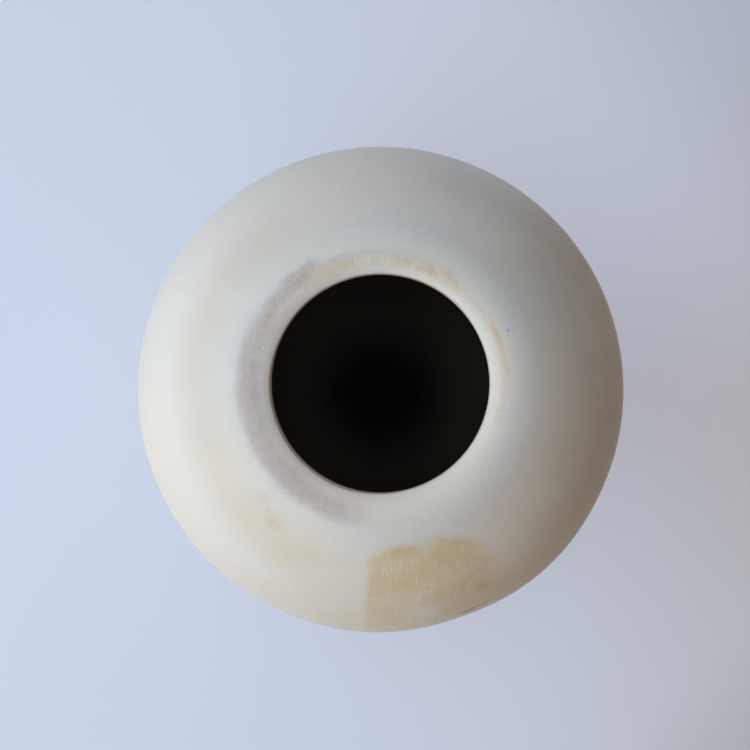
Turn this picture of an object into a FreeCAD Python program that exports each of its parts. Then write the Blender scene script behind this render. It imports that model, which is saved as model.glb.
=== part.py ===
import FreeCAD, Part
import math
import os
from FreeCAD import Vector

# A large white porcelain moon jar, made as potters make one.
# Two bowls are thrown, the upper one is turned over, and they are luted rim to rim at the belly.
# The mouth rim and the foot ring are thrown rings luted on.
# Millimetres, +Z up. The origin is the centre of the ring on which the jar stands.

# Body
belly_radius = 220.0           # outside of the jar at the seam
wall_thickness = 8.0           # both bowls
taper_angle = 50.0             # degrees up from the bottom, where the round belly turns into the taper
taper_radius = 330.0           # the taper down to the foot is flatter than the belly
base_radius = 70.0             # flat disc under the lower bowl
base_height = 14.0             # that disc above the table
floor_thickness = 11.0         # clay between the disc and the inside
floor_turn_radius = 120.0      # inside curve from the wall to the floor

# Shoulder and mouth
shoulder_turn_radius = 46.0    # soft turn from the round shoulder to the level crest
crest_radius = 98.0            # highest ring of the jar
lip_roll = 14.0                # how far the lip rolls in from the crest to the opening
lip_drop = 6.5                 # how far it rolls down on the way
lip_thickness = 13.0           # the rim is thicker than the wall below it

# Luted joints
slip_thickness = 1.2           # joining clay in each joint
groove_depth = 3.0             # the V that seats one bowl's edge in the other's
rim_bevel = 24.0               # degrees that the rim's joint leans off square to the wall
smear_height = 0.9             # slip left proud of the belly, the faint ridge on the outside
smear_width = 16.0
coil_thickness = 4.5           # clay pressed over the seam on the inside
coil_width = 34.0

# Foot ring
foot_radius = 83.0             # outside, at its narrowest just over the bevel
foot_inner_radius = 67.0
foot_flare = 2.5               # how much wider the ring is where it meets the bowl
foot_bevel = 3.0               # turned off the outer bottom edge
foot_inner_bevel = 2.0

# A cutting outline runs this far past what it cuts
overrun = 6.0

# Places worked out from the sizes
taper_start = math.radians(taper_angle)
break_tilt = math.asin(crest_radius / (belly_radius - shoulder_turn_radius))
taper_centre_x = (belly_radius - taper_radius) * math.sin(taper_start)
base_tilt = math.asin((base_radius - taper_centre_x) / taper_radius)
taper_centre_z = base_height + taper_radius * math.cos(base_tilt)
seam_z = taper_centre_z + (belly_radius - taper_radius) * math.cos(taper_start)
turn_centre_z = seam_z + (belly_radius - shoulder_turn_radius) * math.cos(break_tilt)
crest_z = turn_centre_z + shoulder_turn_radius
floor_z = base_height + floor_thickness
lip_under_z = crest_z - lip_thickness
foot_top_z = base_height + floor_thickness


def at(x, z):
    """A point of the jar's section, x from the axis and z above the table."""
    return Vector(x, 0, z)


def on_circle(x, z, radius, tilt):
    """The point where a circle faces tilt radians away from straight up."""
    return at(x + radius * math.sin(tilt), z + radius * math.cos(tilt))


def line(start, end):
    return Part.LineSegment(start, end).toShape()


def arc(x, z, radius, tilt_from, tilt_to):
    """An arc named by its centre, its radius and the way that its two ends face."""
    half_way = (tilt_from + tilt_to) / 2
    ends = [on_circle(x, z, radius, tilt) for tilt in (tilt_from, half_way, tilt_to)]
    return Part.Arc(*ends).toShape()


def quarter_ellipse(centre, across, up, first, last):
    """A quarter of an ellipse, across wide and up high, from angle first to angle last."""
    if across > up:
        ellipse = Part.Ellipse(centre + at(across, 0), centre + at(0, up), centre)
        return ellipse.toShape(first, last)
    ellipse = Part.Ellipse(centre + at(0, up), centre - at(across, 0), centre)
    return ellipse.toShape(first - math.pi / 2, last - math.pi / 2)


def disc(centre, radius):
    """The face inside a circle that lies in the section."""
    circle = Part.Circle(centre, Vector(0, -1, 0), radius)
    return Part.Face(Part.Wire([circle.toShape()]))


def bulge_radius(width, height):
    """The radius of an arc that rises height over a chord width long."""
    return (width * width / 4 + height * height) / (2 * height)


def face_of(edges):
    return Part.Face(Part.Wire(Part.__sortEdges__(edges)))


def polygon(*points):
    return Part.Face(Part.makePolygon([*points, points[0]]))


def outer_edges(grow):
    """The outside of both bowls, grow outside the real surface, from under the axis up to the crest."""
    taper = taper_radius + grow
    underside = base_height - grow
    base_tilt_here = math.acos((taper_centre_z - underside) / taper)
    base_corner = on_circle(taper_centre_x, taper_centre_z, taper, math.pi - base_tilt_here)
    return [
        line(at(0, underside), base_corner),
        arc(taper_centre_x, taper_centre_z, taper, math.pi - base_tilt_here, math.pi - taper_start),
        arc(0, seam_z, belly_radius + grow, math.pi - taper_start, break_tilt),
        arc(crest_radius, turn_centre_z, shoulder_turn_radius + grow, break_tilt, 0),
    ]


def inner_edges():
    """The inside of the jar, from under the lip round to the middle of the floor."""
    under_lip = at(crest_radius, lip_under_z)
    belly = belly_radius - wall_thickness
    wall_top = on_circle(0, seam_z, belly, break_tilt)
    reach = (wall_top.x - under_lip.x) / 2
    along_wall = at(reach, -reach * math.tan(break_tilt))
    under_rim = Part.BezierCurve()
    under_rim.setPoles([under_lip, under_lip + at(reach, 0), wall_top - along_wall, wall_top])

    taper = taper_radius - wall_thickness
    turn_z = floor_z + floor_turn_radius
    floor_tilt = math.acos((taper_centre_z - turn_z) / (taper - floor_turn_radius))
    turn_x = taper_centre_x + (taper - floor_turn_radius) * math.sin(floor_tilt)
    return [
        under_rim.toShape(),
        arc(0, seam_z, belly, break_tilt, math.pi - taper_start),
        arc(taper_centre_x, taper_centre_z, taper, math.pi - taper_start, math.pi - floor_tilt),
        arc(turn_x, turn_z, floor_turn_radius, math.pi - floor_tilt, math.pi),
        line(at(turn_x, floor_z), at(0, floor_z)),
    ]


def filled_outside(grow):
    """Everything within the outer surface, for cutting the foot to it."""
    edges = outer_edges(grow)
    underside = base_height - grow
    top = crest_z + grow
    edges.append(line(at(crest_radius, top), at(0, top)))
    edges.append(line(at(0, top), at(0, underside)))
    return face_of(edges)


def clay_wall():
    """The section of bowls and rim together, before the joints are cut through it."""
    lip_edge_z = crest_z - lip_drop
    under_drop = lip_thickness - lip_drop
    lip_middle = at(crest_radius, lip_edge_z)
    edges = outer_edges(0) + inner_edges()
    edges.append(quarter_ellipse(lip_middle, lip_roll, lip_drop, math.pi / 2, math.pi))
    edges.append(quarter_ellipse(lip_middle, lip_roll, under_drop, math.pi, 3 * math.pi / 2))
    edges.append(line(at(0, floor_z), at(0, base_height)))
    return face_of(edges)


def hollow():
    """The space inside the jar, up to the level of the lip's underside."""
    edges = inner_edges()
    edges.append(line(at(0, floor_z), at(0, lip_under_z)))
    edges.append(line(at(0, lip_under_z), at(crest_radius, lip_under_z)))
    return face_of(edges)


def thrown_clay():
    """The three thrown pieces of the wall, once the joints are cut through it."""
    return clay_wall().cut(belly_joint()).cut(rim_joint())


def belly_joint():
    """The gap between the bowls' edges: a V that points down, open from inside the wall to outside."""
    outside = belly_radius + overrun
    inside = belly_radius - wall_thickness - overrun
    middle = belly_radius - wall_thickness / 2
    steepness = groove_depth / (wall_thickness / 2)
    rise = (outside - middle) * steepness
    half = slip_thickness / 2
    low, high = seam_z - groove_depth / 2 - half, seam_z - groove_depth / 2 + half
    return polygon(
        at(inside, low + rise),
        at(middle, low),
        at(outside, low + rise),
        at(outside, high + rise),
        at(middle, high),
        at(inside, high + rise),
    )


def rim_joint():
    """The bevelled gap between the upper bowl and the rim, as long as the wall is thick and more."""
    middle = on_circle(0, seam_z, belly_radius - wall_thickness / 2, break_tilt)
    lean = break_tilt + math.radians(rim_bevel)
    through = at(math.sin(lean), math.cos(lean)) * (wall_thickness + overrun)
    across = at(math.cos(lean), -math.sin(lean)) * (slip_thickness / 2)
    return polygon(
        middle - through - across,
        middle + through - across,
        middle + through + across,
        middle - through + across,
    )


def foot_block():
    """The foot ring's section, run up into the bowl that will trim its top."""
    flare_radius = foot_radius + foot_flare
    return polygon(
        at(foot_inner_radius + foot_inner_bevel, 0),
        at(foot_radius - foot_bevel, 0),
        at(foot_radius, foot_bevel),
        at(flare_radius, foot_top_z),
        at(foot_inner_radius, foot_top_z),
        at(foot_inner_radius, foot_inner_bevel),
    )


def inner_coil():
    """A disc whose edge is the smeared coil's face on the inside of the wall."""
    radius = bulge_radius(coil_width, coil_thickness)
    return disc(at(belly_radius - wall_thickness - coil_thickness + radius, seam_z), radius)


def outer_smear():
    """A disc whose edge is the face of the slip smeared over the seam on the outside."""
    radius = bulge_radius(smear_width, smear_height)
    return disc(at(belly_radius + smear_height - radius, seam_z), radius)


def nearest_face(section, point):
    """Of the faces that a cut left, the one nearest to a point."""
    probe = Part.Vertex(point)
    return min(section.Faces, key=lambda face: face.distToShape(probe)[0])


def foot_ring():
    return foot_block().cut(filled_outside(slip_thickness))


def foot_slip():
    return foot_block().common(filled_outside(slip_thickness)).cut(filled_outside(0))


def lower_bowl():
    return nearest_face(thrown_clay(), at(base_radius, base_height))


def belly_slip():
    """The fill of the V between the bowls, with the ridge that it leaves on the outside."""
    half_height = smear_width / 2 + groove_depth
    inside = belly_radius - wall_thickness - overrun
    outside = belly_radius + smear_height + overrun
    band = polygon(
        at(inside, seam_z - half_height),
        at(outside, seam_z - half_height),
        at(outside, seam_z + half_height),
        at(inside, seam_z + half_height),
    )
    air = band.cut(filled_outside(0)).cut(outer_smear())
    return band.cut(thrown_clay()).cut(hollow()).cut(air)


def seam_coil():
    return inner_coil().common(hollow())


def upper_bowl():
    half_way_up = (break_tilt + math.pi / 2) / 2
    return nearest_face(thrown_clay(), on_circle(0, seam_z, belly_radius, half_way_up))


def rim_slip():
    return clay_wall().common(rim_joint())


def mouth_rim():
    return nearest_face(thrown_clay(), at(crest_radius, crest_z))


def lathe(section):
    """A section turned right round the axis, as one solid for each of its faces."""
    solids = []
    for face in section.Faces:
        solid = Part.Solid(face.revolve(Vector(0, 0, 0), Vector(0, 0, 1), 360).Shells[0])
        if solid.Volume < 0:
            solid.reverse()
        solids.append(solid)
    return solids


def main():
    os.makedirs("parts", exist_ok=True)
    pieces = (
        foot_ring,
        foot_slip,
        lower_bowl,
        belly_slip,
        seam_coil,
        upper_bowl,
        rim_slip,
        mouth_rim,
    )
    for piece in pieces:
        solids = lathe(piece())
        shape = solids[0] if len(solids) == 1 else Part.makeCompound(solids)
        shape.exportStep(os.path.join("parts", piece.__name__ + ".step"))
        print(piece.__name__, "solids", len(solids), "valid", shape.isValid(), "mm3", round(shape.Volume))
    print("seam", round(seam_z, 2), "crest", round(crest_z, 2))
    print("shoulder turns level from", round(math.degrees(break_tilt), 2), "degrees")


main()
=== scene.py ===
import math

import bmesh
import bpy
from mathutils import Matrix, Vector, noise


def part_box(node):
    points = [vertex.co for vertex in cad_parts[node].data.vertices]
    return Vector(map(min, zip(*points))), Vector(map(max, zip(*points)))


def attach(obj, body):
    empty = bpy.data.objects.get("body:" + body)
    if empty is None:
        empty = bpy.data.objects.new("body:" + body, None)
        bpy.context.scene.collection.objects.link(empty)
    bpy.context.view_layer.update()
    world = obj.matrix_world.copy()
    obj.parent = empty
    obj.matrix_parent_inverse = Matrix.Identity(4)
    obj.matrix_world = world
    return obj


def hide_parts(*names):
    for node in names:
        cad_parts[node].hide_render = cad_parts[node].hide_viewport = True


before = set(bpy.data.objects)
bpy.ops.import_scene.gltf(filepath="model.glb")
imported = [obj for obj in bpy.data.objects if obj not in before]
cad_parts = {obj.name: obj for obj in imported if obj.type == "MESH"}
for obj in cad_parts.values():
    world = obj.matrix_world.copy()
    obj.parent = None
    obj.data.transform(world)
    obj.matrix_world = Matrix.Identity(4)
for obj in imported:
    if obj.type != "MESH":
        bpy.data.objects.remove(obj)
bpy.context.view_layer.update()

# Sizes that all of the jar's pieces share, in metres
jar = {
    "bellyRadius": 0.220,
    "wall": 0.008,
    "taperFrom": 50.0,         # degrees up from the bottom, where the belly turns into the taper
    "taperRadius": 0.330,
    "baseRadius": 0.070,
    "baseHeight": 0.014,
    "shoulderTurn": 0.046,
    "crestRadius": 0.098,
    "joint": 0.0012,           # slip left between two pieces of clay
    "facesRound": 288,
    "faceLength": 0.003,       # along the section
    "fineFaceLength": 0.0004,  # on small rounds
    "weld": 0.000004,          # points nearer to each other than this become one
    "sharpFrom": 32,           # degrees between two faces
}


def facing(centre, radius, tilt):
    # the point of a circle that faces tilt away from straight up
    return centre + radius * Vector((math.sin(tilt), 0, math.cos(tilt)))


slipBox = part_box("belly_slip")
seamZ = (slipBox[0].z + slipBox[1].z) / 2
belly = Vector((0, 0, seamZ))
taperTilt = math.pi - math.radians(jar["taperFrom"])
shoulderTilt = math.asin(jar["crestRadius"] / (jar["bellyRadius"] - jar["shoulderTurn"]))
taper = facing(belly, jar["bellyRadius"] - jar["taperRadius"], taperTilt)
shoulder = facing(belly, jar["bellyRadius"] - jar["shoulderTurn"], shoulderTilt)
crestZ = shoulder.z + jar["shoulderTurn"]
innerBelly = jar["bellyRadius"] - jar["wall"]
print("seam at", round(seamZ, 4), "crest at", round(crestZ, 4))


def at(x, z):
    return Vector((x, 0, z))


def tiltFrom(centre, point):
    return math.atan2(point.x - centre.x, point.z - centre.z)


def meeting(start, along, centre, radius):
    # where a line leaves a circle, going forward along it
    along = along.normalized()
    reach = (centre - start).dot(along)
    nearest = start + along * reach
    return nearest + along * math.sqrt(radius ** 2 - (nearest - centre).length_squared)


class SectionPen:
    # draws half of a piece's section, x out from the axis and z up, one run for each finish
    def __init__(self, start):
        self.place = Vector((start.x, 0, start.z))
        self.runs = []

    def run(self, finish):
        drawing = bmesh.new()
        self.tip = drawing.verts.new(self.place)
        self.runs.append((drawing, finish))
        return self

    def lineTo(self, end, parts=1):
        drawing = self.runs[-1][0]
        step = (Vector((end.x, 0, end.z)) - self.tip.co) / parts
        for part in range(parts):
            self.tip = bmesh.ops.extrude_vert_indiv(drawing, verts=[self.tip])["verts"][0]
            self.tip.co += step
        self.place = self.tip.co.copy()
        return self

    def turn(self, centre, toTilt, length=None, squash=1.0):
        # an arc round centre, squashed upright where the rim is flatter than it is wide
        drawing = self.runs[-1][0]
        about = Matrix.Translation((-centre.x, 0, -centre.z))
        bmesh.ops.scale(drawing, vec=(1, 1, 1 / squash), space=about, verts=[self.tip])
        turned = toTilt - tiltFrom(centre, self.tip.co)
        sweep = abs(turned) * (self.tip.co - Vector((centre.x, 0, centre.z))).length
        parts = max(1, math.ceil(sweep / (length or jar["faceLength"])))
        first = self.tip
        known = set(drawing.verts)
        made = bmesh.ops.spin(drawing, geom=[self.tip], cent=(centre.x, 0, centre.z), axis=(0, 1, 0),
                              angle=turned, steps=parts, use_merge=False, use_duplicate=False)
        self.tip = next(item for item in made["geom_last"] if isinstance(item, bmesh.types.BMVert))
        fresh = [vert for vert in drawing.verts if vert not in known]
        bmesh.ops.scale(drawing, vec=(1, 1, squash), space=about, verts=[first, *fresh])
        self.place = self.tip.co.copy()
        return self


finishes = {}     # filled in once the materials are made

# Where hand throwing and the kiln left the jar off a true round, in metres and degrees
unevenness = {
    "slack": 0.00028,          # the whole wall stays this far inside the true round
    # height, how many go round, seed
    "waves": ((0.00030, 1.6, (3.1, 0.4, 7.7)), (0.00010, 5.0, (1.2, 8.3, 2.5))),
    "throwingRings": 0.00005,
    "ringsPerDegree": 0.55,
    "ringsWander": 2.0,
    "wanderPace": 2.0,
    "footStaysTrueTo": 0.012,
    "fullFrom": 0.060,
    # direction, degrees from the top, reach in degrees, height
    "lumps": ((289, 76, 7.5, -0.00150), (315, 77, 8, 0.00080), (260, 77, 8, 0.00055)),
    "lumpsEndAt": 4,           # times their reach
    "ridgeWorn": 0.28,         # share of the seam's ridge that is worn down, and how much that varies
    "ridgeVaries": 0.20,
    "ridgePace": 3,
    "ridgeSeed": 5.0,
}


def smoothStep(low, high, value):
    part = min(1.0, max(0.0, (value - low) / (high - low)))
    return part * part * (3 - 2 * part)


def uneven(point):
    spoke = point - belly
    way = spoke.normalized()
    distance = spoke.length
    around = math.atan2(way.y, way.x)
    tilt = math.degrees(math.acos(max(-1, min(1, way.z))))
    shift = -unevenness["slack"]
    for height, pace, seed in unevenness["waves"]:
        shift += height * noise.noise(way * pace + Vector(seed))
    rings = tilt * unevenness["ringsPerDegree"] + around
    rings += unevenness["ringsWander"] * noise.noise(way * unevenness["wanderPace"])
    shift += unevenness["throwingRings"] * math.sin(rings)
    for direction, fromTop, reach, height in unevenness["lumps"]:
        a, t = math.radians(direction), math.radians(fromTop)
        middle = Vector((math.sin(t) * math.cos(a), math.sin(t) * math.sin(a), math.cos(t)))
        away = math.degrees(way.angle(middle)) / reach
        if away < unevenness["lumpsEndAt"]:
            shift += height * math.exp(-away * away / 2)
    ridge = distance - jar["bellyRadius"]
    if ridge > 0:     # only the slip over the seam stands proud, and by hand it is never even
        pace = unevenness["ridgePace"]
        varies = noise.noise(Vector((pace * way.x, pace * way.y, unevenness["ridgeSeed"])))
        distance -= ridge * (unevenness["ridgeWorn"] + unevenness["ridgeVaries"] * varies)
    moved = belly + way * (distance + shift)
    held = smoothStep(unevenness["footStaysTrueTo"], unevenness["fullFrom"], point.z)
    return point.lerp(moved, held)


def turnedPiece(name, pen, node):
    # each run is turned right round, then the runs are joined into one closed piece
    whole = bmesh.new()
    names = []
    for drawing, finish in pen.runs:
        if finish not in names:
            names.append(finish)
        bmesh.ops.spin(drawing, geom=[*drawing.verts, *drawing.edges], cent=(0, 0, 0), axis=(0, 0, 1),
                       angle=math.tau, steps=jar["facesRound"], use_merge=True, use_duplicate=False)
        for face in drawing.faces:
            face.material_index = names.index(finish)
        skin = bpy.data.meshes.new(name + "Run")
        drawing.to_mesh(skin)
        drawing.free()
        whole.from_mesh(skin)
        bpy.data.meshes.remove(skin)
    bmesh.ops.remove_doubles(whole, verts=whole.verts[:], dist=jar["weld"])
    bmesh.ops.recalc_face_normals(whole, faces=whole.faces[:])
    for face in whole.faces:
        face.smooth = True
    for vert in whole.verts:
        vert.co = uneven(vert.co)
    clay = bpy.data.meshes.new(name)
    whole.to_mesh(clay)
    whole.free()
    clay.set_sharp_from_angle(angle=math.radians(jar["sharpFrom"]))
    for finish in names:
        clay.materials.append(finishes[finish])
    piece = bpy.data.objects.new(name, clay)
    bpy.context.scene.collection.objects.link(piece)
    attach(piece, "root")
    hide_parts(node)
    print(name, "faces", len(clay.polygons))
    return piece


class Value:
    # one socket of a finish; sums written with it add the nodes that work them out
    def __init__(self, maker, socket):
        self.maker = maker
        self.socket = socket

    def op(self, operation, *others):
        return self.maker.node("ShaderNodeMath", {"operation": operation}, dict(enumerate([self, *others])))

    def __add__(self, other):
        return self.op("ADD", other)

    def __sub__(self, other):
        return self.op("SUBTRACT", other)

    def __mul__(self, other):
        return self.op("MULTIPLY", other)

    def __truediv__(self, other):
        return self.op("DIVIDE", other)

    def __pow__(self, other):
        return self.op("POWER", other)

    def __radd__(self, other):
        return self + other

    def __rmul__(self, other):
        return self * other

    def __rsub__(self, other):
        return self.maker.node("ShaderNodeMath", {"operation": "SUBTRACT"}, {0: other, 1: self})

    def __rtruediv__(self, other):
        return self.maker.node("ShaderNodeMath", {"operation": "DIVIDE"}, {0: other, 1: self})

    def __neg__(self):
        return self * -1


class FinishMaker:
    # adds the nodes of its owner, which is a material or the world
    def __init__(self, owner):
        self.owner = owner
        owner.use_nodes = True
        self.tree = owner.node_tree
        self.tree.nodes.clear()
        self.place = self.node("ShaderNodeTexCoord", out="Object")

    def node(self, kind, settings=None, sockets=None, out=0):
        made = self.tree.nodes.new(kind)
        for name, value in (settings or {}).items():
            setattr(made, name, value)
        for name, value in (sockets or {}).items():
            if isinstance(value, Value):
                self.tree.links.new(value.socket, made.inputs[name])
            else:
                made.inputs[name].default_value = value
        return Value(self, made.outputs[out]) if made.outputs else made

    def split(self, vector):
        made = self.node("ShaderNodeSeparateXYZ", None, {"Vector": vector})
        return [Value(self, socket) for socket in made.socket.node.outputs]

    def cloud(self, size, detail, roughness, out="Fac"):
        # soft noise whose blotches are about size across
        return self.node("ShaderNodeTexNoise", {"noise_dimensions": "3D"},
                         {"Vector": self.place, "Scale": 1 / size, "Detail": detail, "Roughness": roughness}, out)

    def shifted(self, amount, *cloud):
        # the place, pushed about by a noise, so that edges wander
        push = self.node("ShaderNodeVectorMath", {"operation": "SUBTRACT"},
                         {0: self.cloud(*cloud, out="Color"), 1: (0.5, 0.5, 0.5)})
        return self.node("ShaderNodeVectorMath", {"operation": "MULTIPLY_ADD"},
                         {0: push, 1: (amount, amount, amount), 2: self.place})

    def rise(self, value, low, high):
        # 0 up to low and 1 from high on, smooth between
        return self.node("ShaderNodeMapRange", {"interpolation_type": "SMOOTHSTEP"},
                         {"Value": value, "From Min": low, "From Max": high})

    def mix(self, amount, under, over, kind="MIX"):
        # of this node's many sockets, 6 and 7 take the colours and 2 gives the mixed one
        return self.node("ShaderNodeMix", {"data_type": "RGBA", "blend_type": kind, "clamp_factor": True},
                         {"Factor": amount, 6: under, 7: over}, out=2)

    def spot(self, place, centre, radius, soft):
        # 1 inside the radius, 0 outside it, soft between
        distance = self.node("ShaderNodeVectorMath", {"operation": "DISTANCE"}, {0: place, 1: centre}, out="Value")
        return 1 - self.rise(distance, radius - soft, radius + soft)

    def finish(self, colour, roughness, height, specular=0.5):
        # height is in metres
        bump = self.node("ShaderNodeBump", None, {"Strength": 1.0, "Distance": 1.0, "Height": height})
        sockets = {"Base Color": colour, "Roughness": roughness, "Specular IOR Level": specular, "Normal": bump}
        surface = self.node("ShaderNodeBsdfPrincipled", None, {**sockets, "IOR": 1.5}, out="BSDF")
        self.node("ShaderNodeOutputMaterial", None, {"Surface": surface})
        return self.owner


def colour(red, green, blue):
    return (red, green, blue, 1.0)


def grey(level):
    return colour(level, level, level)


def swing(cloud, amount):
    # pushes to either side of nothing by the noise
    return amount * (cloud - 0.5)


def between(low, high, mask):
    # low where the mask is 0, high where it is 1
    return low + (high - low) * mask


# Clay that no glaze covers; a cloud is its blotch size, detail and roughness
bareClay = {
    "pale": colour(0.66, 0.58, 0.48),
    "toasted": colour(0.55, 0.38, 0.24),
    "grit": colour(0.30, 0.22, 0.16),
    "toastCloud": (0.02, 4, 0.6),
    "toastShows": (0.4, 0.7),
    "gritCloud": (0.0012, 2, 0.6),
    "gritShows": (0.68, 0.74),
    "roughness": 0.88,
    "toastSmoother": 0.1,
    "gritHeight": 0.0001,
}

# The glaze's white, the tints that the stains and the painted shade multiply it by, and what all of it shares
glaze = {
    "white": colour(0.765, 0.752, 0.733),
    "cool": (0.965, 0.992, 0.992),
    "warm": (1.015, 0.990, 0.935),
    "mauve": colour(0.715, 0.650, 0.668),
    "lipGrey": colour(0.89, 0.90, 0.86),
    "pink": colour(0.94, 0.845, 0.865),
    "bluish": colour(0.93, 0.985, 1.03),
    "ochre": colour(0.905, 0.785, 0.580),
    "tan": colour(0.905, 0.762, 0.505),
    "deepTan": colour(0.90, 0.84, 0.75),
    "cream": colour(1.0, 0.950, 0.840),
    # the painted shade's tint
    "paintedShade": colour(0.825, 0.840, 0.845),
    # kiln brown, partly painted shade on the right side
    "brownAndShade": colour(0.700, 0.570, 0.420),
    "greyBrown": colour(0.56, 0.47, 0.40),
    "iron": colour(0.50, 0.40, 0.29),
    "speck": colour(0.45, 0.42, 0.38),
    "whiteDot": colour(0.90, 0.90, 0.88),
    "grainTones": (grey(0.96), grey(1.04)),
    "roughness": 0.50,
    "roughnessVaries": 0.12,
    "bareRougher": 0.35,
    "upperHalf": (0.280, 0.305),
    "brokenBy": (0.26, 0.62),
    "coolToWarm": (0.34, 0.66),
    "blotchShare": 0.62,       # of what makes the white cool or warm; the rest is the side of the jar
    "sideWay": (0.45, -0.9),
    "sideEdge": (-0.20, 0.20),
    "sideTones": (0.25, 0.75),
}

# Noises of the glaze: blotch size, detail, roughness
clouds = {
    "blotches": (0.11, 4, 0.6),
    "patches": (0.028, 4, 0.62),
    "mottle": (0.0085, 4, 0.65),
    "flecks": (0.0027, 3, 0.65),
    "grain": (0.0014, 2, 0.6),
}
wandering = (0.0060, 0.016, 3, 0.55)     # how far the stains' edges wander, and the noise that moves them

# A stain's middle strength, and how much the patches, the mottle and the flecks sway it
sways = {
    "bluish": (0.7, 0.6),
    "cream": (0.8, 0, 0.5),
    "mauve": (0.92, 0.7, 0.5, 0.9),
    "brownAndShade": (0.90, 0.35),
    "broken": (0.5, 1, 0.7, 0.5),
}

# The least share of a stain that is left where the noises break it up
leastLeft = {
    "pink": 0.4,
    "ochreRings": 0.25,
    "ochre": 0.35,
    "tan": 0.6,
    "deepTan": 0.35,
}

# The glaze ran down the wall and left faint streaks
streaks = {
    "around": 40,
    "along": 14,
    "wide": 1.0,
    "fine": 3.2,
    "detail": 3,
    "roughness": 0.6,
    "tones": (colour(0.967, 0.967, 0.962), colour(1.033, 1.033, 1.038)),
}

# The tan stain below the front of the rim, sharp on its left side. Pairs say where an edge starts and where it is full
tanPatch = {
    "top": 0.1320,             # in front of the axis
    "topSlope": 0.27,
    "slopeFrom": -0.008,
    "slopeWidth": 0.050,
    "topUneven": 0.014,
    "topEdge": (-0.005, 0.006),
    "leftSlope": 0.056,
    "leftEdge": (-0.0052, 0.0022),
    "leftUneven": 0.008,
    "rightSlope": 0.20,
    "rightSlopeFrom": 0.165,
    "rightEdge": (0.068, 0.116),
    "rightUneven": 0.05,
    "cornerFrom": 0.040,
    "cornerSlope": 1.1,
    "cornerEdge": (0.020, 0.046),
    "fades": (0.176, 0.202),   # towards the belly
    "fadesBy": 0.32,
    "fadeUneven": 0.02,
    "thinsBy": 0.75,
    "runsShare": 0.25,         # of what wears it; the rest is the patches
    "wornSways": (0, 0.6, 0.4, 0.8),
    "wornBy": (0.29, 0.63),
    "least": 0.48,             # where it is worn most
    "most": 0.96,
}

# Brown on the belly's right and front: partly kiln stain, partly painted shade on the side away from the window lamps
scorchAndShade = {
    "direction": (350, 38, 38),
    "topEdge": (0.308, 0.425),
    "topUneven": 0.06,
    "lowEdge": (0.160, 0.300),
    "lowUneven": 0.10,
    "lowPatchy": 0.04,
}

# Fainter stains on the half that the photo leaves out
lowStains = {
    "edge": (0.20, 0.27),
    "shows": (0.52, 0.70),
    "patchy": 0.5,
    "cream": 0.55,
    "ochre": 0.30,
}

# Iron shows on the mouth's edge, where the glaze thins
lip = {
    "edge": (0.0842, 0.0854),
    "uneven": 0.0012,
    "wider": (215, 30, 32),
    "widerBy": 0.0012,
    "above": (0.400, 0.404),
    "stronger": (165, 100, 40),
    "least": 0.35,
    "strength": 0.9,
}

# The foot's edge was wiped bare, with a toasted line where the glaze stops
footEdge = {
    "uneven": 0.0016,
    "bare": (0.0030, 0.0042),
    "lineFrom": (0.0025, 0.0045),
    "lineTo": (0.0045, 0.0085),
    "toastShows": (0.40, 0.65),
}

# Pinholes and iron specks, thinly scattered
pinholes = {
    "apart": 0.017,
    "size": (0.020, 0.055),    # as a share of apart
    "picked": (0.80, 0.84),
    "strength": (0.15, 0.65),
}

bumps = {
    "grain": 0.000036,
    "flecks": 0.00006,
    "mottle": 0.00011,
    "streaks": 0.00003,
    "pinholes": 0.00010,
    "bare": 0.0002,
}

# Rings on the crest: radius, half width, soft edge, direction, half angle, soft angle, strength
rings = {
    "lipGrey": ((0.0920, 0.0050, 0.0040, 205, 22, 26, 0.6),),
    "mauve": ((0.1024, 0.0060, 0.0070, 205, 38, 30, 1.0), (0.1020, 0.0044, 0.0056, 142, 12, 16, 0.85),
              (0.1052, 0.0034, 0.0036, 127, 5, 7, 0.80), (0.0975, 0.0034, 0.0040, 200, 34, 24, 0.55),
              (0.1006, 0.0020, 0.0034, 104, 12, 10, 0.50), (0.1000, 0.0026, 0.0036, 74, 14, 12, 0.30),
              (0.0990, 0.0034, 0.0040, 120, 8, 10, 0.40)),
    "bluish": ((0.1180, 0.0110, 0.0090, 120, 100, 60, 1.0), (0.1160, 0.0110, 0.0090, 330, 60, 40, 1.0)),
    # painted shade: the left shoulder and the right side darkened where the lamps give too little shade
    "paintedShade": ((0.1430, 0.0120, 0.0300, 182, 40, 42, 0.68), (0.1400, 0.0120, 0.0300, 180, 8, 40, 1.0),
              (0.1580, 0.0140, 0.0260, 8, 24, 24, 0.68), (0.1800, 0.0120, 0.0240, 336, 12, 20, 0.56),
              (0.1760, 0.0120, 0.0240, 52, 14, 18, 0.56)),
    "cream": ((0.1400, 0.0200, 0.0160, 190, 44, 34, 0.40), (0.2080, 0.0160, 0.0240, 232, 42, 30, 0.35)),
    "ochre": ((0.0945, 0.0028, 0.0040, 68, 12, 16, 0.90), (0.0962, 0.0015, 0.0028, 21, 5, 6, 1.0),
              (0.0960, 0.0012, 0.0028, 8, 2, 4, 1.0), (0.0950, 0.0014, 0.0034, 16, 26, 14, 0.50),
              (0.0930, 0.0022, 0.0036, 98, 18, 14, 0.70), (0.0915, 0.0024, 0.0040, 136, 20, 16, 0.35),
              (0.0945, 0.0018, 0.0034, 352, 6, 8, 0.45), (0.0985, 0.0040, 0.0050, 136, 16, 14, 0.22),
              (0.0952, 0.0010, 0.0026, 50, 30, 12, 0.60), (0.0952, 0.0018, 0.0034, 92, 12, 12, 0.90),
              (0.0925, 0.0030, 0.0034, 117, 9, 10, 0.50)),
}
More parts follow.
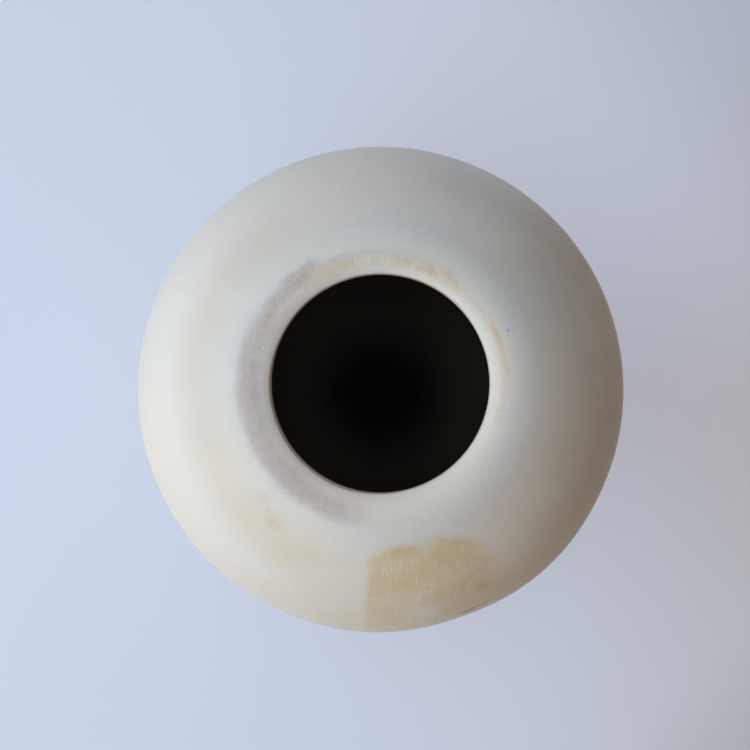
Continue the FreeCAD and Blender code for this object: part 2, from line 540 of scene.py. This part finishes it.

# Stains and specks, and the brown that is partly painted shade on the right: place, radius, soft edge, strength
spots = {
    "ochre": (((0.0389, 0.0861, 0.424), 0.0030, 0.0040, 0.5), ((-0.0218, 0.0905, 0.424), 0.0012, 0.0012, 0.8),
              ((0.0891, -0.0216, 0.424), 0.0012, 0.0012, 0.9), ((-0.0842, -0.1069, 0.408), 0.0050, 0.0080, 0.80),
              ((-0.0899, -0.0883, 0.413), 0.0040, 0.0070, 0.60), ((-0.0873, -0.0970, 0.411), 0.0024, 0.0060, 0.60),
              ((-0.0617, -0.1312, 0.390), 0.0060, 0.0110, 0.34), ((-0.0550, -0.1331, 0.401), 0.0070, 0.0110, 0.34),
              ((-0.0393, -0.1368, 0.403), 0.0060, 0.0100, 0.28)),
    "cream": (((-0.0797, -0.1389, 0.386), 0.0200, 0.0240, 1.0), ((-0.0653, -0.1657, 0.364), 0.0220, 0.0300, 1.0),
              ((-0.0300, -0.1950, 0.330), 0.0260, 0.0300, 1.0), ((-0.0950, -0.1650, 0.340), 0.0220, 0.0300, 0.8),
              ((0.0960, -0.1640, 0.345), 0.0200, 0.0260, 1.0),
              ((-0.1204, -0.0560, 0.410), 0.0160, 0.0260, 0.6), ((-0.1050, -0.1000, 0.398), 0.0160, 0.0240, 0.6),
              ((-0.0410, -0.1738, 0.364), 0.0160, 0.0260, 0.8)),
    "deepTan": (((0.0167, -0.1304, 0.4115), 0.0060, 0.0090, 0.8), ((-0.0035, -0.1510, 0.3950), 0.0050, 0.0090, 0.5),
                ((0.0473, -0.1370, 0.4005), 0.0080, 0.0120, 0.25), ((0.0619, -0.1248, 0.4053), 0.0050, 0.0080, 0.25),
                ((0.0401, -0.1684, 0.3703), 0.0042, 0.0050, 1.0), ((0.0837, -0.1625, 0.3575), 0.0070, 0.0100, 1.0),
                ((0.0680, -0.1660, 0.3620), 0.0060, 0.0100, 0.8), ((0.0096, -0.1942, 0.3379), 0.0060, 0.0100, 0.5)),
    "pink": (((-0.0590, 0.0811, 0.4244), 0.0040, 0.0060, 0.9), ((-0.0660, 0.0740, 0.4240), 0.0030, 0.0050, 0.7),
             ((-0.0780, 0.0640, 0.4230), 0.0030, 0.0060, 0.6)),
    "tan": (((0.0780, -0.1622, 0.3610), 0.0090, 0.0090, 0.60),),
    "thinTan": (((0.0077, -0.1776, 0.3646), 0.0100, 0.0160, 0.5), ((0.0290, -0.1720, 0.3680), 0.0080, 0.0100, 0.9),
                ((0.0360, -0.1880, 0.3480), 0.0140, 0.0160, 1.0), ((0.0560, -0.1560, 0.3800), 0.0060, 0.0120, 0.4)),
    "brownAndShade": (((0.1050, -0.1600, 0.3440), 0.0160, 0.0240, 0.8), ((0.1260, -0.1640, 0.3080), 0.0220, 0.0260, 1.0),
              ((0.0880, -0.1860, 0.3010), 0.0120, 0.0220, 0.5), ((0.1690, -0.0616, 0.3500), 0.0160, 0.0280, 1.0),
              ((0.1712, 0.0556, 0.3500), 0.0140, 0.0260, 0.9)),
    "greyBrown": (((0.0752, -0.1925, 0.3090), 0.0050, 0.0030, 1.0), ((0.0790, -0.1900, 0.3130), 0.0050, 0.0030, 1.0),
                  ((0.0850, -0.1870, 0.3130), 0.0036, 0.0030, 0.6), ((0.0905, -0.1835, 0.3150), 0.0034, 0.0030, 0.8),
                  ((-0.0450, 0.1064, 0.421), 0.0030, 0.0030, 0.10)),
    "speck": (((0.0983, 0.0401, 0.4241), 0.0010, 0.0008, 0.9), ((-0.1331, 0.1297, 0.3527), 0.0006, 0.0006, 0.4),
              ((-0.1326, -0.0528, 0.4024), 0.0006, 0.0006, 0.4)),
}

# Place, radius, soft edge, strength
whiteDots = (((-0.0195, 0.0966, 0.4245), 0.0007, 0.0005, 0.8), ((0.0058, 0.0974, 0.4245), 0.0006, 0.0005, 0.8),
             ((-0.0900, 0.0267, 0.4240), 0.0008, 0.0005, 0.8))


def glazeOverClay():
    m = FinishMaker(bpy.data.materials.new("whiteGlaze"))
    blotches, patches, mottle, flecks, grain = [m.cloud(*cloud) for cloud in clouds.values()]
    spotsPlace = m.shifted(*wandering)
    x, y, z = m.split(spotsPlace)
    out = (x * x + y * y) ** 0.5
    high = m.rise(z, *glaze["upperHalf"])
    run = {"X": streaks["around"] * x / out, "Y": streaks["around"] * y / out, "Z": out * streaks["along"]}
    run = {"Vector": m.node("ShaderNodeCombineXYZ", None, run), "Detail": streaks["detail"],
           "Roughness": streaks["roughness"]}
    wideRuns = m.node("ShaderNodeTexNoise", None, {**run, "Scale": streaks["wide"]})
    fineRuns = m.node("ShaderNodeTexNoise", None, {**run, "Scale": streaks["fine"]})

    def swayed(middle, *amounts):
        # pushed up and down by the patches, the mottle, the flecks and the fine runs
        for cloud, amount in zip((patches, mottle, flecks, fineRuns), amounts):
            if amount:
                middle = middle + swing(cloud, amount)
        return middle

    def ring(radius, half, soft):
        return 1 - m.rise((out - radius).op("ABSOLUTE"), max(0.0, half - soft / 2), half + soft)

    def towards(direction, half, soft):
        # 1 within half degrees of a compass direction, seen from above, 0 beyond half + soft
        a = math.radians(direction)
        lean = (x * math.cos(a) + y * math.sin(a)) / out
        return m.rise(lean, math.cos(math.radians(min(180, half + soft))), math.cos(math.radians(half)))

    def multiplyTint(shown, amount, tint):
        return m.mix(amount, shown, glaze[tint], "MULTIPLY")

    def together(masks):
        whole = masks[0]
        for mask in masks[1:]:
            whole = whole.op("MAXIMUM", mask)
        return whole

    def ringTint(tint):
        return together([ring(*item[:3]) * towards(*item[3:6]) * item[6] for item in rings[tint]]) * high

    def spotTint(tint):
        return together([m.spot(spotsPlace, *item[:3]) * item[3] for item in spots[tint]])

    def tones(shown, cloud, darkest, lightest):
        return m.mix(1.0, shown, m.mix(cloud, darkest, lightest), "MULTIPLY")

    white = [colour(*[w * c for w, c in zip(glaze["white"], glaze[name])]) for name in ("cool", "warm")]
    sideX, sideY = glaze["sideWay"]
    side = between(*glaze["sideTones"], m.rise(x * sideX + y * sideY, *glaze["sideEdge"]))
    shown = m.mix(m.rise(between(side, blotches, glaze["blotchShare"]), *glaze["coolToWarm"]), *white)
    # the rings round the mouth, the painted shade on the shoulder and the right, and the stains over them that the
    # patchy noises break up
    broken = m.rise(swayed(*sways["broken"]), *glaze["brokenBy"])
    shown = multiplyTint(shown, ringTint("bluish") * swayed(*sways["bluish"]), "bluish")
    shown = multiplyTint(shown, ringTint("cream"), "cream")
    # painted shade over the left shoulder and the right side
    shown = multiplyTint(shown, ringTint("paintedShade"), "paintedShade")
    shown = multiplyTint(shown, spotTint("cream") * swayed(*sways["cream"]), "cream")
    shown = multiplyTint(shown, ringTint("lipGrey"), "lipGrey")
    shown = multiplyTint(shown, ringTint("mauve") * swayed(*sways["mauve"]), "mauve")
    shown = multiplyTint(shown, spotTint("pink") * between(leastLeft["pink"], 1, broken), "pink")
    shown = multiplyTint(shown, ringTint("ochre") * between(leastLeft["ochreRings"], 1, broken), "ochre")
    shown = multiplyTint(shown, spotTint("ochre") * between(leastLeft["ochre"], 1, broken), "ochre")
    # the tan stain
    slope = (x - tanPatch["slopeFrom"]).op("MINIMUM", tanPatch["slopeWidth"])
    below = -y - tanPatch["top"] + tanPatch["topSlope"] * slope + swing(patches, tanPatch["topUneven"])
    corner = (x - tanPatch["cornerFrom"]).op("MAXIMUM", 0.0) * tanPatch["cornerSlope"] - below
    right = x + tanPatch["rightSlope"] * (-y - tanPatch["rightSlopeFrom"]) + swing(patches, tanPatch["rightUneven"])
    left = x - tanPatch["leftSlope"] * y + swing(patches, tanPatch["leftUneven"])
    patch = m.rise(left, *tanPatch["leftEdge"]) * m.rise(below, *tanPatch["topEdge"]) * high
    patch = patch * (1 - m.rise(right, *tanPatch["rightEdge"])) * (1 - m.rise(corner, *tanPatch["cornerEdge"]))
    patch = patch * (1 - tanPatch["fadesBy"] * m.rise(-y + swing(patches, tanPatch["fadeUneven"]), *tanPatch["fades"]))
    patch = patch * (1 - tanPatch["thinsBy"] * spotTint("thinTan"))
    worn = swayed(between(patches, wideRuns, tanPatch["runsShare"]), *tanPatch["wornSways"])
    worn = m.rise(worn, *tanPatch["wornBy"])
    patch = patch * between(tanPatch["least"], tanPatch["most"], worn)
    patch = patch.op("MAXIMUM", spotTint("tan") * between(leastLeft["tan"], 1, worn))
    shown = multiplyTint(shown, patch, "tan")
    shown = multiplyTint(shown, patch * spotTint("deepTan") * between(leastLeft["deepTan"], 1, broken), "deepTan")
    # the brown, partly kiln stain and partly painted shade on the right side, and the flaw at its lower end
    brownAndShade = towards(*scorchAndShade["direction"])
    brownAndShade = brownAndShade * (1 - m.rise(z + swing(blotches, scorchAndShade["topUneven"]), *scorchAndShade["topEdge"]))
    low = z + swing(blotches, scorchAndShade["lowUneven"]) + swing(patches, scorchAndShade["lowPatchy"])
    brownAndShade = (brownAndShade * m.rise(low, *scorchAndShade["lowEdge"])).op("MAXIMUM", spotTint("brownAndShade"))
    shown = multiplyTint(shown, brownAndShade * swayed(*sways["brownAndShade"]), "brownAndShade")
    shown = multiplyTint(shown, spotTint("greyBrown"), "greyBrown")
    # the low stains
    under = m.rise(blotches + swing(patches, lowStains["patchy"]), *lowStains["shows"])
    under = under * (1 - m.rise(z, *lowStains["edge"]))
    shown = multiplyTint(shown, under * lowStains["cream"], "cream")
    shown = multiplyTint(shown, under * m.rise(mottle, *lowStains["shows"]) * lowStains["ochre"], "ochre")
    # the iron on the lip
    steadyX, steadyY, steadyZ = m.split(m.place)
    opening = (steadyX * steadyX + steadyY * steadyY) ** 0.5 + swing(patches, lip["uneven"])
    thin = 1 - m.rise(opening - lip["widerBy"] * towards(*lip["wider"]), *lip["edge"])
    thin = thin * m.rise(steadyZ, *lip["above"]) * between(lip["least"], 1, towards(*lip["stronger"]))
    shown = multiplyTint(shown, thin * lip["strength"], "iron")
    # the dots
    cells = {"Vector": m.place, "Scale": 1 / pinholes["apart"]}
    away = m.node("ShaderNodeTexVoronoi", None, cells, out="Distance")
    picked = m.split(m.node("ShaderNodeTexVoronoi", None, cells, out="Color"))
    dots = (1 - m.rise(away, *pinholes["size"])) * m.rise(picked[0], *pinholes["picked"])
    shown = multiplyTint(shown, dots * between(*pinholes["strength"], picked[1]), "speck")
    shown = multiplyTint(shown, spotTint("speck"), "speck")
    for place, radius, soft, strength in whiteDots:
        shown = m.mix(m.spot(m.place, place, radius, soft) * strength, shown, glaze["whiteDot"])
    shown = tones(shown, wideRuns, *streaks["tones"])
    shown = tones(shown, grain, *glaze["grainTones"])
    # the foot's edge
    above = z + swing(patches, footEdge["uneven"])
    bare = 1 - m.rise(above, *footEdge["bare"])
    line = m.rise(above, *footEdge["lineFrom"]) * (1 - m.rise(above, *footEdge["lineTo"]))
    shown = multiplyTint(shown, line, "ochre")
    clay = m.mix(m.rise(mottle, *footEdge["toastShows"]), bareClay["pale"], bareClay["toasted"])
    shown = m.mix(bare, shown, clay)
    height = grain * bumps["grain"] + flecks * bumps["flecks"] + mottle * bumps["mottle"]
    height = height + wideRuns * bumps["streaks"] - dots * bumps["pinholes"] - bare * bumps["bare"]
    roughness = glaze["roughness"] + swing(mottle, glaze["roughnessVaries"]) + glaze["bareRougher"] * bare
    return m.finish(shown, roughness, height)


# The near-black painted shade on the inside, with painted light that grows out towards the mouth
paintedShadeInside = {
    "paintedShadeBlack": colour(0.008, 0.007, 0.006),
    "paintedLightNearMouth": colour(0.125, 0.112, 0.090),
    "insideNoiseCloud": (0.03, 4, 0.6),
    "paintedLightFrom": (0.020, 0.095),    # out from the axis
    "paintedLightUneven": 0.02,
    "insideNoiseHeight": 0.0002,
    "roughness": 0.85,
    "roughnessVaries": 0.1,
    "specular": 0.2,
}


def makePaintedShadeInside():
    m = FinishMaker(bpy.data.materials.new("paintedShadeLining"))
    insideNoise = m.cloud(*paintedShadeInside["insideNoiseCloud"])
    x, y, z = m.split(m.place)
    # painted light: lighter out towards the mouth's edge
    out = (x * x + y * y) ** 0.5 + swing(insideNoise, paintedShadeInside["paintedLightUneven"])
    shown = m.mix(m.rise(out, *paintedShadeInside["paintedLightFrom"]), paintedShadeInside["paintedShadeBlack"], paintedShadeInside["paintedLightNearMouth"])
    roughness = paintedShadeInside["roughness"] + swing(insideNoise, paintedShadeInside["roughnessVaries"])
    return m.finish(shown, roughness, insideNoise * paintedShadeInside["insideNoiseHeight"], paintedShadeInside["specular"])


def unglazedClay():
    m = FinishMaker(bpy.data.materials.new("bareClay"))
    toast = m.cloud(*bareClay["toastCloud"])
    grit = m.cloud(*bareClay["gritCloud"])
    shown = m.mix(m.rise(toast, *bareClay["toastShows"]), bareClay["pale"], bareClay["toasted"])
    shown = m.mix(m.rise(grit, *bareClay["gritShows"]), shown, bareClay["grit"])
    roughness = bareClay["roughness"] - swing(toast, bareClay["toastSmoother"])
    return m.finish(shown, roughness, grit * bareClay["gritHeight"])


finishes["glaze"] = glazeOverClay()
# painted shade for the inside faces
finishes["paintedShadeCoat"] = makePaintedShadeInside()
finishes["bare"] = unglazedClay()
print("finishes made:", ", ".join(finishes))


footSizes = {
    "outerRadius": 0.083,
    "innerRadius": 0.067,
    "flare": 0.0025,           # wider by this much at the bowl's base height
    "flareHeight": 0.025,
    "outerRound": 0.0030,
    "innerRound": 0.0020,
    "roundStopsShort": 0.11,   # radians, because the wall leans out
    "fillet": 0.0045,          # slip smeared into the corner with the bowl
}

jointTaper = jar["taperRadius"] + jar["joint"]
wallFoot = at(footSizes["outerRadius"], footSizes["outerRound"])
wallHead = at(footSizes["outerRadius"] + footSizes["flare"], footSizes["flareHeight"])
wallWay = (wallHead - wallFoot).normalized()
wallOut = Vector((wallWay.z, 0, -wallWay.x))


def firstMeeting(start, radius):
    # where a line up the foot's wall comes to a circle round the taper's middle
    far = meeting(start, wallWay, taper, radius)
    return far - wallWay * 2 * (far - taper).dot(wallWay)


filletCentre = firstMeeting(wallFoot + wallOut * footSizes["fillet"], jar["taperRadius"] + footSizes["fillet"])
filletLow = filletCentre - wallOut * footSizes["fillet"]
filletHigh = facing(taper, jar["taperRadius"], tiltFrom(taper, filletCentre))
ringTop = firstMeeting(wallFoot, jointTaper)
cornerZ = jar["baseHeight"] - jar["joint"]
ringCorner = at(taper.x + math.sqrt(jointTaper ** 2 - (cornerZ - taper.z) ** 2), cornerZ)
baseCorner = at(jar["baseRadius"], jar["baseHeight"])


def makeFootRing():
    inner, outer = footSizes["innerRadius"], footSizes["outerRadius"]
    roundIn, roundOut = footSizes["innerRound"], footSizes["outerRound"]
    pen = SectionPen(at(inner + roundIn, 0)).run("glaze")
    pen.lineTo(at(outer - roundOut, 0), parts=4)
    pen.turn(at(outer - roundOut, roundOut), math.pi / 2 - footSizes["roundStopsShort"], jar["fineFaceLength"])
    pen.lineTo(filletLow, parts=8)
    pen.run("bare").lineTo(ringTop, parts=2).turn(taper, tiltFrom(taper, ringCorner))
    pen.lineTo(at(inner, ringCorner.z), parts=2)
    pen.run("glaze").lineTo(at(inner, roundIn), parts=5)
    pen.turn(at(inner + roundIn, roundIn), -math.pi, jar["fineFaceLength"])
    return turnedPiece("footRing", pen, "foot_ring")


def makeFootSlip():
    inner = footSizes["innerRadius"]
    pen = SectionPen(at(inner, ringCorner.z)).run("bare")
    pen.lineTo(ringCorner, parts=2).turn(taper, tiltFrom(taper, ringTop)).lineTo(filletLow, parts=2)
    pen.run("glaze").turn(filletCentre, tiltFrom(filletCentre, filletHigh), jar["fineFaceLength"])
    pen.run("bare").turn(taper, tiltFrom(taper, baseCorner)).lineTo(at(inner, jar["baseHeight"]), parts=2)
    pen.run("glaze").lineTo(at(inner, ringCorner.z))
    return turnedPiece("footSlip", pen, "foot_slip")


bowlSizes = {
    "floor": 0.011,            # clay under the inside of the jar
    "floorTurn": 0.120,
    "grooveDepth": 0.003,
    "smear": 0.008,            # the slip reaches this far over each bowl
    "scraped": 0.0004,         # the bowls are cut back under the smeared slip
    "upperFaces": 0.0022,      # lengths of the faces: above the belly, on the smear and inside
    "smearFaces": 0.0007,
    "insideFaces": 0.006,
}

smearTilt = math.asin(bowlSizes["smear"] / jar["bellyRadius"])
scrapedRadius = jar["bellyRadius"] - bowlSizes["scraped"]
grooveMiddle = jar["bellyRadius"] - jar["wall"] / 2


def groove(x, side):
    # a point of the V between the bowls; side is -1 for the lower face and 1 for the upper
    steepness = bowlSizes["grooveDepth"] / (jar["wall"] / 2)
    bottom = seamZ - bowlSizes["grooveDepth"] / 2 + side * jar["joint"] / 2
    return at(x, bottom + steepness * abs(x - grooveMiddle))


def makeLowerBowl():
    floorZ = jar["baseHeight"] + bowlSizes["floor"]
    turnZ = floorZ + bowlSizes["floorTurn"]
    innerTaper = jar["taperRadius"] - jar["wall"]
    floorTilt = math.acos((taper.z - turnZ) / (innerTaper - bowlSizes["floorTurn"]))
    floorTurn = facing(taper, innerTaper - bowlSizes["floorTurn"], math.pi - floorTilt)
    pen = SectionPen(at(0, jar["baseHeight"])).run("glaze")
    pen.lineTo(baseCorner, parts=20).turn(taper, taperTilt).turn(belly, math.pi / 2 + smearTilt)
    pen.run("bare").lineTo(facing(belly, scrapedRadius, math.pi / 2 + smearTilt))
    pen.turn(belly, tiltFrom(belly, groove(scrapedRadius, -1)))
    pen.lineTo(groove(grooveMiddle, -1)).lineTo(groove(innerBelly, -1))
    inside = bowlSizes["insideFaces"]
    pen.run("paintedShadeCoat").turn(belly, taperTilt, inside).turn(taper, math.pi - floorTilt, inside)
    pen.turn(floorTurn, math.pi, inside).lineTo(at(0, floorZ), parts=8)
    return turnedPiece("lowerBowl", pen, "lower_bowl")


def makeBellySlip():
    proud = slipBox[1].x - jar["bellyRadius"]
    pen = SectionPen(facing(belly, jar["bellyRadius"], math.pi / 2 + smearTilt)).run("glaze")
    pen.turn(belly, math.pi / 2 - smearTilt, bowlSizes["smearFaces"])
    for vert in pen.runs[-1][0].verts:
        part = (vert.co.z - seamZ) / bowlSizes["smear"]
        vert.co.x += proud * math.cos(part * math.pi / 2) ** 2
    pen.place = facing(belly, jar["bellyRadius"], math.pi / 2 - smearTilt)
    pen.run("bare").lineTo(facing(belly, scrapedRadius, math.pi / 2 - smearTilt))
    pen.turn(belly, tiltFrom(belly, groove(scrapedRadius, 1)))
    pen.lineTo(groove(grooveMiddle, 1)).lineTo(groove(innerBelly, 1))
    pen.run("paintedShadeCoat").lineTo(groove(innerBelly, -1))
    pen.run("bare").lineTo(groove(grooveMiddle, -1)).lineTo(groove(scrapedRadius, -1))
    pen.turn(belly, math.pi / 2 + smearTilt).lineTo(facing(belly, jar["bellyRadius"], math.pi / 2 + smearTilt))
    return turnedPiece("bellySlip", pen, "belly_slip")


coilSizes = {
    "thick": 0.0045,
    "wide": 0.034,
    "faces": 24,
}


def makeSeamCoil():
    thick, wide = coilSizes["thick"], coilSizes["wide"]
    radius = (wide ** 2 / 4 + thick ** 2) / (2 * thick)
    centre = belly + Vector((innerBelly - thick + radius, 0, 0))
    # where the coil's face runs out on the wall
    reach = math.acos((innerBelly ** 2 + centre.x ** 2 - radius ** 2) / (2 * innerBelly * centre.x))
    top = facing(belly, innerBelly, math.pi / 2 - reach)
    low = facing(belly, innerBelly, math.pi / 2 + reach)
    pen = SectionPen(top).run("bare").turn(belly, math.pi / 2 + reach).run("paintedShadeCoat")
    lean = math.atan2(low.z - seamZ, centre.x - low.x)
    bmesh.ops.spin(pen.runs[-1][0], geom=[pen.tip], cent=centre, axis=(0, 1, 0), angle=-2 * lean,
                   steps=coilSizes["faces"], use_merge=False, use_duplicate=False)
    return turnedPiece("seamCoil", pen, "seam_coil")


rimSizes = {
    "bevel": 24.0,             # degrees that the joint leans off square to the wall
    "lipRoll": 0.014,
    "lipDrop": 0.0065,
    "lipThick": 0.013,
    "lipFaces": 0.0008,        # lengths of the faces
    "shoulderFaces": 0.0012,
    "underFaces": 0.002,
}

lipMiddle = at(jar["crestRadius"], crestZ - rimSizes["lipDrop"])
lipUnder = crestZ - rimSizes["lipThick"]
underTurn = (lipUnder - facing(belly, innerBelly, shoulderTilt).z) / (1 - math.cos(shoulderTilt))
underCentre = facing(belly, innerBelly - underTurn, shoulderTilt)
jointLean = shoulderTilt + math.radians(rimSizes["bevel"])
jointWay = at(math.sin(jointLean), math.cos(jointLean))
jointAcross = at(math.cos(jointLean), -math.sin(jointLean))
jointMiddle = facing(belly, grooveMiddle, shoulderTilt)


def rimJoint(side):
    # the joint's face on the bowl (1) or on the rim (-1): where it ends outside and inside the wall
    start = jointMiddle + jointAcross * side * jar["joint"] / 2
    ends = ((belly, jar["bellyRadius"]), (underCentre, underTurn))
    return [meeting(start, jointWay, centre, radius) for centre, radius in ends]


def makeUpperBowl():
    outside, inside = rimJoint(1)
    pen = SectionPen(facing(belly, jar["bellyRadius"], math.pi / 2 - smearTilt)).run("glaze")
    pen.turn(belly, tiltFrom(belly, outside), bowlSizes["upperFaces"])
    pen.run("bare").lineTo(inside, parts=3)
    pen.run("paintedShadeCoat").turn(underCentre, shoulderTilt, rimSizes["underFaces"])
    pen.turn(belly, tiltFrom(belly, groove(innerBelly, 1)), bowlSizes["insideFaces"])
    pen.run("bare").lineTo(groove(grooveMiddle, 1)).lineTo(groove(scrapedRadius, 1))
    pen.turn(belly, math.pi / 2 - smearTilt).lineTo(facing(belly, jar["bellyRadius"], math.pi / 2 - smearTilt))
    return turnedPiece("upperBowl", pen, "upper_bowl")


def makeRimSlip():
    bowlOutside, bowlInside = rimJoint(1)
    rimOutside, rimInside = rimJoint(-1)
    pen = SectionPen(bowlOutside).run("glaze").turn(belly, tiltFrom(belly, rimOutside), jar["fineFaceLength"])
    pen.run("bare").lineTo(rimInside, parts=3)
    pen.run("paintedShadeCoat").turn(underCentre, tiltFrom(underCentre, bowlInside), jar["fineFaceLength"])
    pen.run("bare").lineTo(bowlOutside, parts=3)
    return turnedPiece("rimSlip", pen, "rim_slip")


def makeMouthRim():
    outside, inside = rimJoint(-1)
    under = (rimSizes["lipThick"] - rimSizes["lipDrop"]) / rimSizes["lipRoll"]
    faces = rimSizes["lipFaces"]
    pen = SectionPen(outside).run("glaze").turn(belly, shoulderTilt, faces)
    pen.turn(shoulder, 0, rimSizes["shoulderFaces"])
    pen.turn(lipMiddle, -math.pi / 2, faces, rimSizes["lipDrop"] / rimSizes["lipRoll"])
    pen.run("paintedShadeCoat").turn(lipMiddle, -math.pi, faces, under)
    pen.lineTo(at(underCentre.x, lipUnder), parts=8)
    pen.turn(underCentre, tiltFrom(underCentre, inside), rimSizes["underFaces"])
    pen.run("bare").lineTo(outside, parts=3)
    return turnedPiece("mouthRim", pen, "mouth_rim")


makeFootRing()
makeFootSlip()
makeLowerBowl()
makeBellySlip()
makeSeamCoil()
makeUpperBowl()
makeRimSlip()
makeMouthRim()
print("jar turned")


room = {
    "floor": colour(0.563, 0.709, 0.900),
    "floorShown": colour(0.950, 0.913, 1.035),
    "lift": 0.345,             # how much of the floor's own colour the camera sees
    # painted shade on the floor: darker to the right, in the far corners and in a painted shadow right of the jar
    "paintedShadeTint": colour(0.885, 0.838, 0.750),
    "paintedCornerShade": grey(0.87),
    "paintedShadowSpot": ((0.42, -0.05, 0.0), 0.12, 0.18),      # place, radius, soft edge
    "paintedShadowSpotMore": 0.45,
    "bounce": colour(0.60, 0.585, 0.55),
    "air": colour(0.80, 0.87, 1.0),
    "airStrength": 0.02,
    "airShown": colour(0.60, 0.64, 0.75),
    # where a change on the floor starts and where it is full
    "near": (0.60, 1.30),
    "far": (0.62, 1.70),
    "rightWay": (0.95, -0.30),
    "rightSide": (0.16, 0.60),
    "backCorner": (0.52, 0.86),
    "frontCorner": (0.64, 0.84),
    "halfWidth": 7.0,
    "belowFoot": 0.0002,
    "lampsAimAt": (0, 0, 0.25),
}


def seenDirectly(m):
    # camera, mirror and glass rays see the backdrop's own colour
    path = m.node("ShaderNodeLightPath", out="Is Camera Ray").socket.node
    rays = [Value(m, path.outputs[name]) for name in ("Is Camera Ray", "Is Glossy Ray", "Is Transmission Ray")]
    return rays[0].op("MAXIMUM", rays[1]).op("MAXIMUM", rays[2])


def makeFloor():
    m = FinishMaker(bpy.data.materials.new("paleFloor"))
    seen = seenDirectly(m)
    x, y, z = m.split(m.place)
    reach = (x * x + y * y) ** 0.5
    near = 1 - m.rise(reach, *room["near"])
    far = m.rise(reach, *room["far"])
    rightX, rightY = room["rightWay"]
    # painted shade: the floor darker to the right, in a painted shadow right of the jar and in the far corners
    right = near * m.rise(x * rightX + y * rightY, *room["rightSide"])
    right = right + room["paintedShadowSpotMore"] * m.spot(m.place, *room["paintedShadowSpot"])
    corner = near * m.rise(x + y, *room["backCorner"]).op("MAXIMUM", m.rise(x - y, *room["frontCorner"]))
    tone = m.mix(corner, m.mix(right, room["floor"], room["paintedShadeTint"], "MULTIPLY"), room["paintedCornerShade"], "MULTIPLY")
    paper = m.node("ShaderNodeBsdfDiffuse", None, {"Color": m.mix(seen, room["bounce"], tone), "Roughness": 0.5})
    paintedShade = m.mix(right, room["floorShown"], room["paintedShadeTint"], "MULTIPLY")
    shine = m.mix(far, m.mix(corner, paintedShade, room["paintedCornerShade"], "MULTIPLY"), room["airShown"])
    glow = m.node("ShaderNodeEmission", None, {"Color": shine})
    lift = seen * between(room["lift"], 1, far)
    shown = m.node("ShaderNodeMixShader", None, {0: lift, 1: paper, 2: glow})
    m.node("ShaderNodeOutputMaterial", None, {"Surface": shown})
    ground = bmesh.new()
    bmesh.ops.create_grid(ground, x_segments=8, y_segments=8, size=room["halfWidth"],
                          matrix=Matrix.Translation((0, 0, -room["belowFoot"])))
    sheet = bpy.data.meshes.new("floor")
    ground.to_mesh(sheet)
    ground.free()
    sheet.materials.append(m.owner)
    floor = bpy.data.objects.new("floor", sheet)
    bpy.context.scene.collection.objects.link(floor)


def makeAir():
    world = bpy.data.worlds.new("air")
    bpy.context.scene.world = world
    m = FinishMaker(world)
    dim = m.node("ShaderNodeBackground", None, {"Color": room["air"], "Strength": room["airStrength"]})
    pale = m.node("ShaderNodeBackground", None, {"Color": room["airShown"], "Strength": 1.0})
    shown = m.node("ShaderNodeMixShader", None, {0: seenDirectly(m), 1: dim, 2: pale})
    m.node("ShaderNodeOutputWorld", None, {"Surface": shown})


daylight = (0.985, 1.0, 1.02)

# Place, width, height, watts, colour
lamps = {
    "windowLow": ((-1.956, 0.0, 0.666), 2.4, 0.8, 20.6, daylight),
    "windowHigh": ((-1.0, 0.0, 1.982), 2.4, 0.9, 11.4, daylight),
    "leftFront": ((-1.113, -1.327, 1.25), 1.6, 1.2, 9.5, daylight),
    "front": ((0.151, -1.725, 1.25), 1.6, 1.2, 3.6, daylight),
    "back": ((0.06, 1.731, 1.25), 1.6, 1.2, 7.5, daylight),
    "above": ((0.0, 0.0, 2.45), 1.8, 1.8, 7.2, daylight),
    "warmSide": ((1.773, -0.827, 0.666), 1.8, 0.8, 3.2, (1.0, 0.52, 0.04)),
}


def makeLamps():
    target = Vector(room["lampsAimAt"])
    for name, (place, width, height, watts, tint) in lamps.items():
        lamp = bpy.data.lights.new(name, "AREA")
        lamp.shape = "RECTANGLE"
        lamp.size, lamp.size_y = width, height
        lamp.energy = watts
        lamp.color = tint
        holder = bpy.data.objects.new(name, lamp)
        bpy.context.scene.collection.objects.link(holder)
        holder.location = place
        holder.rotation_euler = (target - Vector(place)).to_track_quat("-Z", "Y").to_euler()


camera = {
    "place": (0.000330, -0.025870, 1.334300),
    "turn": (0.0352, 0.005, 0.0),
    "lens": 57.12,             # millimetres
    "sensor": 36.0,
    "clipEnd": 50.0,
}


def makeCamera():
    view = bpy.data.cameras.new("camera")
    view.lens = camera["lens"]
    view.sensor_width = camera["sensor"]
    view.clip_end = camera["clipEnd"]
    holder = bpy.data.objects.new("camera", view)
    bpy.context.scene.collection.objects.link(holder)
    holder.location = camera["place"]
    holder.rotation_euler = camera["turn"]
    bpy.context.scene.camera = holder


makeFloor()
makeAir()
makeLamps()
makeCamera()
bpy.context.scene.view_settings.view_transform = "Standard"
print("floor, light and camera set")
